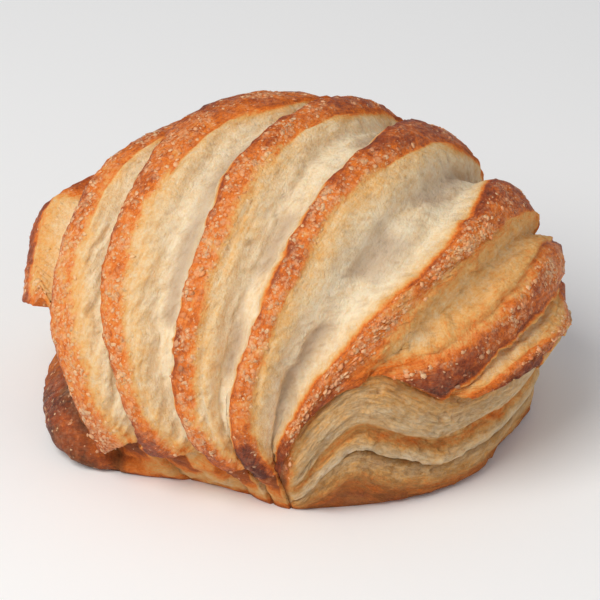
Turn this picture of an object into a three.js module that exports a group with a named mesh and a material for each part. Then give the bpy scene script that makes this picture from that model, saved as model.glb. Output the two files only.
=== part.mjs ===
// A ridged puff pastry shell: one closed piece of dough on a flat base, in millimetres, +Z up.
// It is a domed oblong whose lid rose in ribs. The ribs run from front to back, lean to one side,
// crowd together at the front foot and end on a pale layered side wall at both ends.
//
// The dome is a plan disc (p to the right, q to the back, 1 at the ground) pulled up over the filling.
// A grid of columns across the ribs and rows along them is laid on the disc, mapped onto the dome
// and sunk between the ribs. The rows run on down both side walls and close under the base.
import * as THREE from 'three';

// The dome
const HALF_LENGTH = 51.5;
const HALF_DEPTH = 41;
const HEIGHT = 61.5;
const WIDEST_HEIGHT = 22;
const WIDEST_REACH = 0.7;
const SQUARENESS = 2.1;
const RIM_SCALE = 0.885;

// Swells of the outline: [angle, spread, amount as a share of the radius]
const BACK_CORNER_CUT = [40, 30, -0.06];
// Swells of the rim on the ground: the front curls in, its tip and the left foot stand out
const RIM_SWELLS = [
  [-120, 26, -0.152],
  [-91, 10, 0.03],
  [-150, 12, 0.046],
  [-21, 12, -0.055],
];

// The ribs from left to right, each with its left and its right edge on the plan disc: foot angle,
// foot reach, crest p, crest q, bow of the front half, sway near the foot, turn near the crest, bow of
// the back half
const RIB_EDGES = [
  [[176, 0.66, -0.56, 0.31, 0, 0, 0, 0],
   [-178, 0.655, -0.5, 0.24, 0, 0, 0, 0]],
  [[-172, 0.64, -0.55, 0.1, -0.01, 0, 0, 0],
   [-164.5, 0.61, -0.455, 0.07, -0.02, 0, 0, 0]],
  [[-145, 0.938, -0.35, 0, -0.055, 0.063, -0.039, 0],
   [-134.5, 0.86, -0.272, 0, 0.004, -0.018, 0.03, 0]],
  [[-131, 0.886, -0.228, 0, -0.08, 0.078, -0.028, 0],
   [-120.5, 0.865, -0.127, 0, -0.051, -0.01, 0.033, 0.02]],
  [[-110, 0.879, -0.022, 0, -0.021, -0.088, 0.036, 0],
   [-103, 0.864, 0.046, 0, -0.043, -0.081, 0.026, 0.015]],
  [[-101, 0.89, 0.154, 0, -0.009, -0.084, 0.007, 0],
   [-95, 0.875, 0.234, 0, 0.004, -0.105, 0.041, 0.035]],
  [[-94, 0.895, 0.362, 0, 0.14, -0.12, 0.047, 0],
   [-74, 0.613, 0.468, 0, 0.03, -0.013, 0.035, 0]],
  [[-67, 0.6, 0.54, 0, 0.063, 0.027, 0.028, 0],
   [-53, 0.675, 0.612, 0, 0.005, 0.021, -0.01, 0]],
  [[-47, 0.68, 0.635, 0, 0.045, -0.012, 0.016, 0],
   [-29, 0.677, 0.678, 0, 0.01, -0.014, 0, 0]],
];
// How far each crown rounds off at its left and its right edge
const DROPS = [
  [0.8, 0.8], [0.8, 0.8], [0.5, 1.2], [0.5, 1.2], [0.5, 1.2],
  [0.5, 1.2], [1.2, 0.6], [1.2, 0.5], [1, 0.6],
];
// The share of its width over which it does so
const ROUNDING = { left: 0.35, right: 0.5 };
// How far each crown stands over the dome at the front, at its crest and behind it
const LIFTS = [
  [0, -2.6, -5], [0.2, 1.6, -4.5], [0, 0.8, -2.4], [0, 0, 0.4], [0, 0.8, 0.6],
  [0, 2, 0.9], [0, 1, -1], [0.5, 1.3, 1.3], [2.8, 0.2, 0.2],
];
const LIFT_TO_CREST = { from: 0.2, over: 0.25 };
const LIFT_BEHIND = { from: 0.47, over: 0.14 };
// Bands whose front end is cut in a bow: the first valley, and the last rib of the bunch
const FOOT_BOWS = [
  { band: 4, p: 0.07, q: 0.02, run: 0.45, skew: 0.5 },
  { band: 13, p: -0.03, q: 0.023, run: 0.15, skew: 1 },
];
// Where the ribs come down at the back: the first foot's angle, the step to the next, how that step
// shortens, a crown's width
const BACK_FOOT = { first: 118, step: -17, shorten: 0.65, crown: -4.5 };
const BACK_REACH = { first: 0.7, step: 0.06, most: 0.89, last: 0.85 };
const LEFT_END = [150, 0.72];
const RIGHT_END = [5, 0.735];

// The valleys between them: depth, share of the width that falls at the left, share that rises at the right
const VALLEYS = [
  [3, 0.45, 0.3],
  [5, 0.35, 0.16],
  [3, 0.5, 0.2],
  [3.6, 0.45, 0.18],
  [3.8, 0.45, 0.18],
  [4, 0.55, 0.24],
  [3, 0.4, 0.55],
  [2.8, 0.35, 0.55],
];
const VALLEY_RUN_IN = 0.22;
const VALLEY_AT_EDGE = 0.45;
// A fall or rise over less than this share of the width is steep at the rib
const STEEP_BELOW = 0.3;
// How far the lid sinks outside the first and the last rib
const END_SINK = { left: 2.5, right: 0.6 };

// The side wall, layer by layer from the ground (0) to the lid (1): the base sheet, the seam over it at
// 0.31, a thin lip, and the bulging layers above
const WALL_PROFILE = [
  [0, -0.6], [0.05, -0.1], [0.14, 0], [0.22, -0.6], [0.28, -0.9], [0.31, -2.6], [0.335, -0.5],
  [0.38, -0.4], [0.46, -0.8], [0.54, -0.9], [0.62, -0.6], [0.78, -0.3], [0.92, -0.8], [1, -1.6],
];
// The layers keep their height but for a step in front: swells of the power that turns the share of the
// wall's height into a layer
const LAYER_STEPS = [[-75, 6.5, 0.66], [-66, 10, 0.2], [-90, 5.5, -0.4]];
// Right of the step the wall is hollow over the lip: layer, spread and depth, from that angle on, over so
// many degrees
const HOLLOW = { layer: 0.5, spread: 0.07, depth: 1.7, from: -80, over: 9 };
// The right side leans in under the lid, by so much at the ground and at the lid
const RIGHT_INSET = { swell: [-10, 42, 1], ground: 0.5, groundOver: 0.15, lid: 2.8 };
// The left side is notched under the lid, and the dough below it swells out
const LEFT_NOTCH = { swell: [180, 32, 12], from: 0.18, over: 0.22 };
const LEFT_LOBE = { swell: [-157, 13, 2], full: 0.1, from: 0.5, over: 0.15 };
// The wall shows its layers where the lid ends well inside the outline. Where the lid comes down almost to
// the ground, only the feet of the ribs curl under.
const TALL_WALL = { reach: 0.88, range: 0.2 };
const FEET = { nearLid: 0.3, atGround: 0.4, drawnIn: 0.3 };
// Across the bunched feet: how far a foot's left side and the dough at its right lie under its top
const FOOT_SINK = { left: 1, leftShare: 0.6, right: 1.7, rightFrom: 0.35, ends: 0.8 };
// How far the feet lean over to the right as they curl under, in degrees
const FEET_LEAN = [-118, 28, 7];

// How finely it is laid out
const CROWN_STEPS = [0, 0.25, 0.7];
const VALLEY_STEPS = [0, 0.15, 0.42, 0.7, 0.87];
const END_STEPS = [0, 0.5];
const LID_ROWS = 38;
const UNDERSIDE_ROWS = 4;

// Bands lie between the rib edges: 0 left of the first rib, odd ones crowns, even ones valleys
const LAST_BAND = 2 * RIB_EDGES.length;

const radians = THREE.MathUtils.degToRad;
const clamp01 = (x) => Math.min(1, Math.max(0, x));
const ease = (x) => clamp01(x) ** 2 * (3 - 2 * clamp01(x));
const quarterWave = (x) => Math.sin((Math.PI / 2) * clamp01(x));
const bell = (x) => Math.exp(-x * x);

// A smooth hump round one angle of the plan, in degrees
function swell(angle, [at, spread, amount]) {
  const away = THREE.MathUtils.euclideanModulo(angle - radians(at) + Math.PI, 2 * Math.PI) - Math.PI;
  return amount * bell(away / radians(spread));
}

// A point of the plan disc on the smooth dome: above the widest line the side follows an ellipse
// to the top, and below it the side draws in to the rim on the ground.
function onDome(reach, angle) {
  const across = Math.abs(Math.cos(angle) / HALF_LENGTH) ** SQUARENESS;
  const along = Math.abs(Math.sin(angle) / HALF_DEPTH) ** SQUARENESS;
  const radius = (across + along) ** (-1 / SQUARENESS) * (1 + swell(angle, BACK_CORNER_CUT));
  const rim = RIM_SWELLS.reduce((sum, hump) => sum + swell(angle, hump), RIM_SCALE);
  let out;
  let height;
  if (reach > WIDEST_REACH) {
    const down = (reach - WIDEST_REACH) / (1 - WIDEST_REACH);
    out = 1 - (1 - rim) * down * down;
    height = WIDEST_HEIGHT * (1 - down);
  } else {
    const lift = (1 - reach / WIDEST_REACH) * (Math.PI / 2);
    out = Math.cos(lift);
    height = WIDEST_HEIGHT + (HEIGHT - WIDEST_HEIGHT) * Math.sin(lift);
  }
  return new THREE.Vector3(out * radius * Math.cos(angle), out * radius * Math.sin(angle), height);
}

// The dome's outward direction there, from two short steps along the surface
function outward(reach, angle) {
  const step = 1e-4;
  const from = Math.max(reach, 1e-3);
  const down = onDome(from + step, angle).sub(onDome(from - step, angle));
  const round = onDome(from, angle + step).sub(onDome(from, angle - step));
  return down.cross(round).normalize();
}

// Slow rises and falls of baked dough, half a millimetre or so. They fade out near the rim.
const LEVEL_RIM = 0.3;
function unevenness(p, q) {
  return 0.45 * Math.sin(8 * p + 3) * Math.cos(7 * q - 1) + 0.3 * Math.sin(15 * p - 12 * q + 2);
}

const polar = (angle, reach) => new THREE.Vector2(
  reach * Math.cos(radians(angle)), reach * Math.sin(radians(angle)),
);

// One rib edge on the plan disc at row t: from its front foot to its crest with a bow, a sway near
// the foot and a turn near the crest, and on from there, in the same direction, to its back foot. The
// sway and the turn are humps s(1-s)^3 and s^3(1-s), scaled to a height of 1.
function edgePoint([footAngle, footReach, crestP, crestQ, bow, sway, turn, backBow], heel, t) {
  const toOne = 256 / 27;
  const foot = polar(footAngle, footReach);
  const crest = new THREE.Vector2(crestP, crestQ);
  if (t < 0.5) {
    const s = 2 * t;
    const point = foot.lerp(crest, s);
    point.x += bow * Math.sin(Math.PI * s) + toOne * (sway * s * (1 - s) ** 3 - turn * s ** 3 * (1 - s));
    return point;
  }
  const s = 2 * t - 1;
  const slope = (crest.x - foot.x - Math.PI * bow + toOne * turn) / (crest.y - foot.y);
  const arc = slope * (heel.y - crest.y) - (heel.x - crest.x);
  const point = crest.lerp(heel, s);
  point.x += arc * s * (1 - s) ** 3 + backBow * Math.sin(Math.PI * s);
  return point;
}

function ribEdges() {
  const lines = [() => polar(...LEFT_END)];
  RIB_EDGES.forEach((edges, rib) => {
    const rise = Math.min(BACK_REACH.most, BACK_REACH.first + BACK_REACH.step * rib);
    const reach = rib === RIB_EDGES.length - 1 ? BACK_REACH.last : rise;
    const angle = BACK_FOOT.first + (BACK_FOOT.step + BACK_FOOT.shorten * rib) * rib;
    edges.forEach((edge, side) => {
      const heel = polar(angle + BACK_FOOT.crown * side, reach);
      lines.push((t) => edgePoint(edge, heel, t));
    });
  });
  lines.push(() => polar(...RIGHT_END));
  return lines;
}

// The columns: a band is the strip between two edges, and share says how far across it a column is
function layColumns() {
  const columns = [];
  for (let band = 0; band <= LAST_BAND; band += 1) {
    const isEnd = band === 0 || band === LAST_BAND;
    const steps = isEnd ? END_STEPS : band % 2 === 1 ? CROWN_STEPS : VALLEY_STEPS;
    steps.forEach((share) => columns.push({ band, share }));
  }
  columns.push({ band: LAST_BAND, share: 1 });
  return columns;
}

// How far the crown of a rib stands over the dome at row t
function liftOf(rib, t) {
  const [front, crest, heel] = LIFTS[rib];
  const toCrest = ease((t - LIFT_TO_CREST.from) / LIFT_TO_CREST.over);
  const behind = ease((t - LIFT_BEHIND.from) / LIFT_BEHIND.over);
  return front + (crest - front) * toCrest + (heel - crest) * behind;
}

// Height of the lid over the dome: crowns stand over it by their lift and valleys sink between them
function lidRelief({ band, share }, t) {
  const last = RIB_EDGES.length - 1;
  if (band === 0) {
    return (liftOf(0, t) - DROPS[0][0]) * share - END_SINK.left * (1 - quarterWave(share));
  }
  if (band === LAST_BAND) {
    return liftOf(last, t) * (1 - share) - DROPS[last][1] - END_SINK.right * quarterWave(share);
  }
  if (band % 2 === 1) {
    const rib = (band - 1) / 2;
    const [left, right] = DROPS[rib];
    const roundLeft = left * (1 - quarterWave(share / ROUNDING.left));
    const roundRight = right * (1 - quarterWave((1 - share) / ROUNDING.right));
    return liftOf(rib, t) - roundLeft - roundRight;
  }
  const rib = band / 2 - 1;
  const [depth, fall, rise] = VALLEYS[rib];
  const from = liftOf(rib, t) - DROPS[rib][1];
  const to = liftOf(rib + 1, t) - DROPS[rib + 1][0];
  const side = (x, width) => (width < STEEP_BELOW ? quarterWave(x / width) : ease(x / width));
  const runIn = ease(t / VALLEY_RUN_IN) * ease((1 - t) / VALLEY_RUN_IN);
  const full = VALLEY_AT_EDGE + (1 - VALLEY_AT_EDGE) * runIn;
  const sunk = Math.min(side(share, fall), side(1 - share, rise));
  return from * (1 - share) + to * share - depth * full * sunk;
}

// Across the bunched feet each foot is a pillow that slides under the next one at its right
function footRelief({ band, share }) {
  if (band === 0 || band === LAST_BAND) return -FOOT_SINK.ends;
  if (band % 2 === 1) return -FOOT_SINK.left * (1 - quarterWave(share / FOOT_SINK.leftShare));
  return -FOOT_SINK.right * ease((share - FOOT_SINK.rightFrom) / (1 - FOOT_SINK.rightFrom));
}

function profileAt(layer) {
  const next = Math.max(1, WALL_PROFILE.findIndex(([at]) => at >= layer));
  const [lowAt, low] = WALL_PROFILE[next - 1];
  const [highAt, high] = WALL_PROFILE[next];
  return THREE.MathUtils.lerp(low, high, (layer - lowAt) / (highAt - lowAt));
}

const layerPower = (angle) => LAYER_STEPS.reduce((sum, step) => sum + swell(angle, step), 1);

// 1 where the side wall stands tall under the lid, 0 where the lid comes down almost to the ground
const tallness = (lidReach) => ease((TALL_WALL.reach - lidReach) / TALL_WALL.range);

// Height of the side wall over the dome, up from the ground (0) to the lid's edge (1)
function wallRelief(up, layer, angle, lidReach, edgeRelief, foot) {
  const tall = tallness(lidReach);
  const nearLid = ease(1 - (1 - up) / FEET.nearLid);
  const pillow = foot * (FEET.atGround + (1 - FEET.atGround) * up) - FEET.drawnIn * up;
  const feet = edgeRelief * nearLid + pillow * (1 - nearLid);
  const leanIn = RIGHT_INSET.ground * ease(up / RIGHT_INSET.groundOver) + RIGHT_INSET.lid * up;
  const inset = leanIn * swell(angle, RIGHT_INSET.swell);
  const notch = ease((up - LEFT_NOTCH.from) / LEFT_NOTCH.over) * swell(angle, LEFT_NOTCH.swell);
  const underLid = 1 - ease((up - LEFT_LOBE.from) / LEFT_LOBE.over);
  const lobe = ease(up / LEFT_LOBE.full) * underLid * swell(angle, LEFT_LOBE.swell);
  const pastStep = ease((THREE.MathUtils.radToDeg(angle) - HOLLOW.from) / HOLLOW.over);
  const hollow = HOLLOW.depth * bell((layer - HOLLOW.layer) / HOLLOW.spread) * pastStep;
  return (1 - tall) * feet + tall * (profileAt(layer) - hollow - inset) - notch + lobe;
}

function place(reach, angle, relief) {
  const p = reach * Math.cos(angle);
  const q = reach * Math.sin(angle);
  const lift = relief + unevenness(p, q) * ease((1 - reach) / LEVEL_RIM);
  const point = onDome(reach, angle).addScaledVector(outward(reach, angle), lift);
  point.z = Math.max(0, point.z);
  return point;
}

// The wall below one end of a column, from the ground up, without the lid's own edge
function wallPoints(edge, edgeRelief, foot) {
  const lidReach = edge.length();
  const angle = Math.atan2(edge.y, edge.x);
  const lean = radians(swell(angle, FEET_LEAN)) * (1 - tallness(lidReach));
  return WALL_PROFILE.slice(0, -1).map(([layer]) => {
    const up = layer ** (1 / layerPower(angle));
    const reach = 1 - (1 - lidReach) * up;
    const turned = angle + lean * (1 - up);
    const point = place(reach, turned, wallRelief(up, layer, turned, lidReach, edgeRelief, foot));
    if (up === 0) point.z = 0;
    return point;
  });
}

// Every column as one closed ring: up the front wall, over the lid, down the back wall and under the base
function layGrid() {
  const edges = ribEdges();
  return layColumns().map((column) => {
    const at = (t) => {
      const point = edges[column.band](t).lerp(edges[column.band + 1](t), column.share);
      FOOT_BOWS.filter((cut) => cut.band === column.band).forEach((cut) => {
        const bow = Math.sin(Math.PI * column.share ** cut.skew) * clamp01(1 - t / cut.run) ** 2;
        point.add(new THREE.Vector2(cut.p * bow, cut.q * bow));
      });
      return point;
    };
    const relief = (t) => lidRelief(column, t);
    const lid = Array.from({ length: LID_ROWS + 1 }, (_, row) => {
      const t = row / LID_ROWS;
      const flat = at(t);
      return place(flat.length(), flat.angle(), relief(t));
    });
    const front = wallPoints(at(0), relief(0), footRelief(column));
    const back = wallPoints(at(1), relief(1), footRelief(column)).reverse();
    const under = Array.from({ length: UNDERSIDE_ROWS }, (_, row) => (
      back.at(-1).clone().lerp(front[0], (row + 1) / (UNDERSIDE_ROWS + 1))
    ));
    return [...front, ...lid, ...back, ...under];
  });
}

// Faces between the columns. The two end columns fold shut on themselves, so points that fall on the
// same place are one vertex, and triangles that lose a side there are left out.
function closedGeometry(rings) {
  const positions = [];
  const known = new Map();
  const vertexOf = (point) => {
    const key = point.toArray().map((value) => Math.round(value * 1000)).join(' ');
    if (!known.has(key)) {
      known.set(key, positions.length / 3);
      positions.push(point.x, point.y, point.z);
    }
    return known.get(key);
  };
  const grid = rings.map((ring) => ring.map(vertexOf));
  const faces = [];
  const addFace = (a, b, c) => {
    if (a !== b && b !== c && c !== a) faces.push(a, b, c);
  };
  const rowCount = grid[0].length;
  for (let column = 0; column + 1 < grid.length; column += 1) {
    for (let row = 0; row < rowCount; row += 1) {
      const next = (row + 1) % rowCount;
      const corners = [grid[column][row], grid[column + 1][row], grid[column + 1][next], grid[column][next]];
      addFace(corners[0], corners[1], corners[2]);
      addFace(corners[0], corners[2], corners[3]);
    }
  }
  const geometry = new THREE.BufferGeometry();
  geometry.setAttribute('position', new THREE.Float32BufferAttribute(positions, 3));
  geometry.setIndex(faces);
  geometry.computeVertexNormals();
  return geometry;
}

const bakedCrust = new THREE.MeshStandardMaterial({ color: 0xd9a866, roughness: 0.75, metalness: 0 });

// The origin is on the ground under the middle of the piece
const dough = closedGeometry(layGrid());
dough.computeBoundingBox();
const middle = dough.boundingBox.getCenter(new THREE.Vector3());
dough.translate(-middle.x, -middle.y, 0);

const pastry = new THREE.Mesh(dough, bakedCrust);
pastry.name = 'pastry_shell';

const shell = new THREE.Group();
shell.add(pastry);

export default shell;
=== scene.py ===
"""A ridged puff pastry shell with sugared ribs, and the pale studio it stands in.

The dome is a plan disc (p to the right, q to the back, 1 at the ground) pulled up over the filling.
A grid of columns across the ribs and rows along them is laid on the disc, mapped onto the dome and
sunk between the ribs. The rows run on down both side walls and close under the base. Every formula
works in millimetres, and the meshes are in metres.
"""

import math
from types import SimpleNamespace

import bpy
import numpy as np
from bpy.props import FloatProperty, FloatVectorProperty, IntProperty, PointerProperty
from mathutils import Matrix, Vector


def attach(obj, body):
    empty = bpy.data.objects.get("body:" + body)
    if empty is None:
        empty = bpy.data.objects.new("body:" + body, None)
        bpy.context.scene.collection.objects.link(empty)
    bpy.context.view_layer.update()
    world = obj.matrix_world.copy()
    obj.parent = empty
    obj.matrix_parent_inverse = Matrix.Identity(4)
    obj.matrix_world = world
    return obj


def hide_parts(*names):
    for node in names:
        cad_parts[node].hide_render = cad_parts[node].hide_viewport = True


bl_info = {
    "name": "Ridged pastry shell",
    "version": (1, 0, 0),
    "blender": (4, 5, 0),
    "location": "View3D > Sidebar > Pastry",
    "description": "Builds a ridged puff pastry shell with sugared ribs, and a plain studio round it",
    "category": "Add Mesh",
}

SOLID = "pastry_shell"
BODY = "root"
MM = 0.001

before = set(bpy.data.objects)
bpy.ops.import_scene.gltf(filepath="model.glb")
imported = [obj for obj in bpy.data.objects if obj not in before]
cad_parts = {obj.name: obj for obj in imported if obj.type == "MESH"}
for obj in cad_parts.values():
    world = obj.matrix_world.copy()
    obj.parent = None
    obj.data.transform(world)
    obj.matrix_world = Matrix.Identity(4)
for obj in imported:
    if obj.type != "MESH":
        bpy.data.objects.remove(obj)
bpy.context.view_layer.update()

# The dome, in millimetres and shares
HALF_LENGTH = 51.5
HALF_DEPTH = 41.0
HEIGHT = 61.5
WIDEST_HEIGHT = 22.0
WIDEST_REACH = 0.7
SQUARENESS = 2.1
RIM_SCALE = 0.885

# Swells: angle and spread in degrees, and the amount. The outline's is a share of its radius.
BACK_CORNER_CUT = (40, 30, -0.06)
# Swells of the rim on the ground, as shares too: the front curls in, its tip and the left foot stand out,
# and the right foot draws in
RIM_SWELLS = ((-120, 26, -0.152), (-91, 10, 0.03), (-150, 12, 0.046), (-21, 12, -0.055))

# The ribs from left to right, each with its left and its right edge on the plan disc:
# foot angle, foot reach, crest p, crest q, bow of the front half, sway near the foot, turn near the crest,
# bow of the back half
RIB_EDGES = np.array([
    [(176, 0.66, -0.56, 0.31, 0, 0, 0, 0),
     (-178, 0.655, -0.5, 0.24, 0, 0, 0, 0)],
    [(-172, 0.64, -0.55, 0.1, -0.01, 0, 0, 0),
     (-164.5, 0.61, -0.455, 0.07, -0.02, 0, 0, 0)],
    [(-145, 0.938, -0.35, 0, -0.055, 0.063, -0.039, 0),
     (-134.5, 0.86, -0.272, 0, 0.004, -0.018, 0.03, 0)],
    [(-131, 0.886, -0.228, 0, -0.08, 0.078, -0.028, 0),
     (-120.5, 0.865, -0.127, 0, -0.051, -0.01, 0.033, 0.02)],
    [(-110, 0.879, -0.022, 0, -0.021, -0.088, 0.036, 0),
     (-103, 0.864, 0.046, 0, -0.043, -0.081, 0.026, 0.015)],
    [(-101, 0.89, 0.154, 0, -0.009, -0.084, 0.007, 0),
     (-95, 0.875, 0.234, 0, 0.004, -0.105, 0.041, 0.035)],
    [(-94, 0.895, 0.362, 0, 0.14, -0.12, 0.047, 0),
     (-74, 0.613, 0.468, 0, 0.03, -0.013, 0.035, 0)],
    [(-67, 0.6, 0.54, 0, 0.063, 0.027, 0.028, 0),
     (-53, 0.675, 0.612, 0, 0.005, 0.021, -0.01, 0)],
    [(-47, 0.68, 0.635, 0, 0.045, -0.012, 0.016, 0),
     (-29, 0.677, 0.678, 0, 0.01, -0.014, 0, 0)],
])
# Bands whose front end is cut in a bow: the first open valley, and the last rib of the bunch. The bow is a
# shift on the plan disc that fades over a run of rows, and skew moves its middle.
FOOT_BOWS = [
    {"band": 4, "p": 0.07, "q": 0.02, "run": 0.45, "skew": 0.5},
    {"band": 13, "p": -0.03, "q": 0.023, "run": 0.15, "skew": 1},
]
# How far each crown rounds off at its left and its right edge
RIB_DROPS = np.array([
    (0.8, 0.8), (0.8, 0.8), (0.5, 1.2), (0.5, 1.2), (0.5, 1.2),
    (0.5, 1.2), (1.2, 0.6), (1.2, 0.5), (1.0, 0.6),
])
# The share of its width over which it does so
ROUNDING = {"left": 0.35, "right": 0.5}
# How far each crown stands over the dome at the front, at its crest and behind it
RIB_LIFTS = np.array([
    (0, -2.6, -5.0), (0.2, 1.6, -4.5), (0, 0.8, -2.4), (0, 0, 0.4), (0, 0.8, 0.6),
    (0, 2.0, 0.9), (0, 1.0, -1.0), (0.5, 1.3, 1.3), (2.8, 0.2, 0.2),
])
# The rows over which that height changes, from the front to the crest and from the crest to the back
LIFT_TO_CREST = {"from": 0.2, "over": 0.25}
LIFT_BEHIND = {"from": 0.47, "over": 0.14}
# How brown each crown is: in the middle, added at the front foot, added at the crest, and how far up the
# rib the foot's browning runs
RIB_BAKE = np.array([
    (0.66, 0.1, 0.1, 0.05), (0.74, 0.1, 0.1, 0.05), (0.6, 0.1, 0.05, 0.05),
    (0.61, 0.2, 0.03, 0.05), (0.62, 0.15, 0.04, 0.06), (0.62, 0.3, 0.1, 0.1),
    (0.59, 0.16, 0.16, 0.07), (0.67, 0.15, 0.04, 0.2), (0.68, 0.16, 0.06, 0.08),
])
# Where the browning of each crown begins to fade away from its sharp side, and by how much
RIB_FADE = np.array([
    (0.5, 0.3), (0.75, 0.3), (0.58, 0.3), (0.56, 0.32), (0.5, 0.36),
    (0.6, 0.3), (0.8, 0.12), (0.5, 0.24), (0.5, 0.2),
])
# The sharp side of each crown: 0 left, 1 right
SHARP_SIDE = np.array([0, 0, 0, 0, 0, 0, 0, 1, 1])
# The valleys: depth, share of the width that falls at the left, share that rises at the right
VALLEYS = np.array([
    (3.0, 0.45, 0.3), (5.0, 0.35, 0.16), (3.0, 0.5, 0.2), (3.6, 0.45, 0.18),
    (3.8, 0.45, 0.18), (4.0, 0.55, 0.24), (3.0, 0.4, 0.55), (2.8, 0.35, 0.55),
])
# How far the browning creeps into each valley from the rib at its left and at its right
VALLEY_TINT = np.array([
    (0.2, 0.05), (0.24, 0.05), (0.22, 0.05), (0.24, 0.05),
    (0.24, 0.05), (0.22, 0.08), (0.2, 0.25), (0.3, 0.2),
])
# How warm the dough of each valley is beyond the palest
VALLEY_WARMTH = np.array([0.3, 0.1, 0.0, 0.0, 0.0, 0.0, 0.5, 0.3])
# A valley starts at a share of its depth at both ends, and is full after so many rows
VALLEY_AT_EDGE = 0.45
VALLEY_RUN_IN = 0.22
# A fall or rise over less than this share of the width is steep at the rib
STEEP_BELOW = 0.3
# How far the lid sinks outside the first and the last rib
END_SINK = {"left": 2.5, "right": 0.6}
# Where the ribs come down at the back: the first foot's angle, the step to the next, how that step
# shortens, a crown's width
BACK_FOOT = {"first": 118, "step": -17, "shorten": 0.65, "crown": -4.5}
BACK_REACH = {"first": 0.7, "step": 0.06, "most": 0.89, "last": 0.85}
# The lid's left and right end on the plan disc: angle and reach
LEFT_END = (150, 0.72)
RIGHT_END = (5, 0.735)
# Bands lie between the rib edges: 0 left of the first rib, odd ones crowns, even ones valleys
LAST_BAND = 2 * len(RIB_EDGES)
# The first two valleys are the smooth golden face at the left end, and the last two have no grey wisps
FIRST_OPEN_VALLEY = 2
LAST_WISP_VALLEY = 5

# The side wall, layer by layer from the ground (0) to the lid (1): the base sheet, the seam over it at
# 0.31, a thin lip, and the bulging layers above
WALL_PROFILE = np.array([
    (0, -0.6), (0.05, -0.1), (0.14, 0), (0.22, -0.6), (0.28, -0.9), (0.31, -2.6), (0.335, -0.5),
    (0.38, -0.4), (0.46, -0.8), (0.54, -0.9), (0.62, -0.6), (0.78, -0.3), (0.92, -0.8), (1, -1.6),
])
# The layers keep their height but for a step in front: swells of the power that turns the share of the
# wall's height into a layer
LAYER_STEPS = ((-75, 6.5, 0.66), (-66, 10, 0.2), (-90, 5.5, -0.4))
# Right of the step the wall is hollow over the lip: layer, spread and depth, from that angle on, over so
# many degrees
HOLLOW = {"layer": 0.5, "spread": 0.07, "depth": 1.7, "from": -80, "over": 9}
# The right side leans in under the lid, by so much at the ground and at the lid
RIGHT_INSET = {"swell": (-10, 42, 1), "ground": 0.5, "ground_over": 0.15, "lid": 2.8}
# The left side is notched under the lid, and the dough below it swells out
LEFT_NOTCH = {"swell": (180, 32, 12), "from": 0.18, "over": 0.22}
LEFT_LOBE = {"swell": (-157, 13, 2), "full": 0.1, "from": 0.5, "over": 0.15}
# The wall shows its layers where the lid ends well inside the outline. Where the lid comes down almost to
# the ground, only the feet of the ribs curl under.
TALL_WALL = {"reach": 0.88, "range": 0.2}
FEET = {"near_lid": 0.3, "at_ground": 0.4, "drawn_in": 0.3}
# Across the bunched feet: how far a foot's left side and the dough at its right lie under its top
FOOT_SINK = {"left": 1, "left_share": 0.6, "right": 1.7, "right_from": 0.35, "ends": 0.8}
# How far the feet lean over to the right as they curl under, in degrees
FEET_LEAN = (-118, 28, 7)
# The share of the disc over which the dome's unevenness fades out to the rim
LEVEL_RIM = 0.3

# How brown the side wall is, layer by layer
WALL_BAKE = np.array([
    (0, 0.62), (0.03, 0.8), (0.08, 0.6), (0.15, 0.48), (0.2, 0.36), (0.26, 0.28),
    (0.31, 0.4), (0.345, 0.12), (0.39, 0.22), (0.46, 0.5), (0.53, 0.46), (0.6, 0.2),
    (0.72, 0.24), (0.86, 0.32), (0.95, 0.37), (1, 0.5),
])
# The wall is a stack of so many thin leaves
LAYER_STACK = 24.0
# Round one side of the wall only: the skin of the lobe, the browning round it, and both ends
LOBE_SKIN = (-165, 17, 1)
LOBE_BROWNING = (-163, 28, 1)
LEFT_SIDE = (180, 22, 1)
RIGHT_SIDE = (-8, 28, 1)
# Behind the crest each valley browns beside its left rib: from a row, over so many, that wide, and fading
# over the rest. On the left face that is a broad rim.
CREST_RIM = {"from": 0.5, "over": 0.06, "wide": 0.06, "fade": 0.14}
LEFT_FACE_RIM = {"from": 0.482, "over": 0.05, "wide": 0.5, "fade": 0.4}
# Sheets, flakes and strands on the lid: millimetres across and along, and the shift from band to band
TORN_SHEETS = (2.2, 17, 1.7)
FLAKES = (1.5, 5, 2.3)
STRANDS = (1.1, 9, 2.7)
# Sheets and leaves on the side wall: millimetres across, and leaves up
WALL_SHEETS = (8, 1.7)
LEAF_DRIFT = (14, 5)
LEAF_BREAKS = (5, 1.5)
# How far the upper sheet stands over the torn place beside it
TORN_DEPTH = {"lid": 0.4, "flake": 0.26, "wall": 0.52}

# How finely the surface is laid out
LID_ROWS = 230
FRONT_WALL_ROWS = 44
BACK_WALL_ROWS = 34
UNDERSIDE_ROWS = 18
CROWN_COLUMNS = 14
VALLEY_COLUMNS = 19
END_COLUMNS = 8

# Shares of a sugar grain's size: how far its corners move in or out, how far it is stretched, how much
# of its height is pressed flat, and how deep it sits
GRAIN = {"corners": (0.72, 1.2), "stretch": (0.65, 1.25), "flattened": (0.5, 0.75), "sunk": 0.12}
# How much of a grain's colour comes from the crust under it
GRAIN_TINT = (0.2, 0.85)
BAKING_GROUP = "Baked dough colour"

# The picture: 600 pixels across, 5.19 pixels to a millimetre at the pastry
IMAGE_SIDE = 600
PIXELS_PER_MM = 5.19
ORIGIN_PIXEL = (296.22, 401.3)
CAMERA_ELEVATION = math.radians(32)
CAMERA_DISTANCE = 600.0
SENSOR_WIDTH = 36.0
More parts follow.
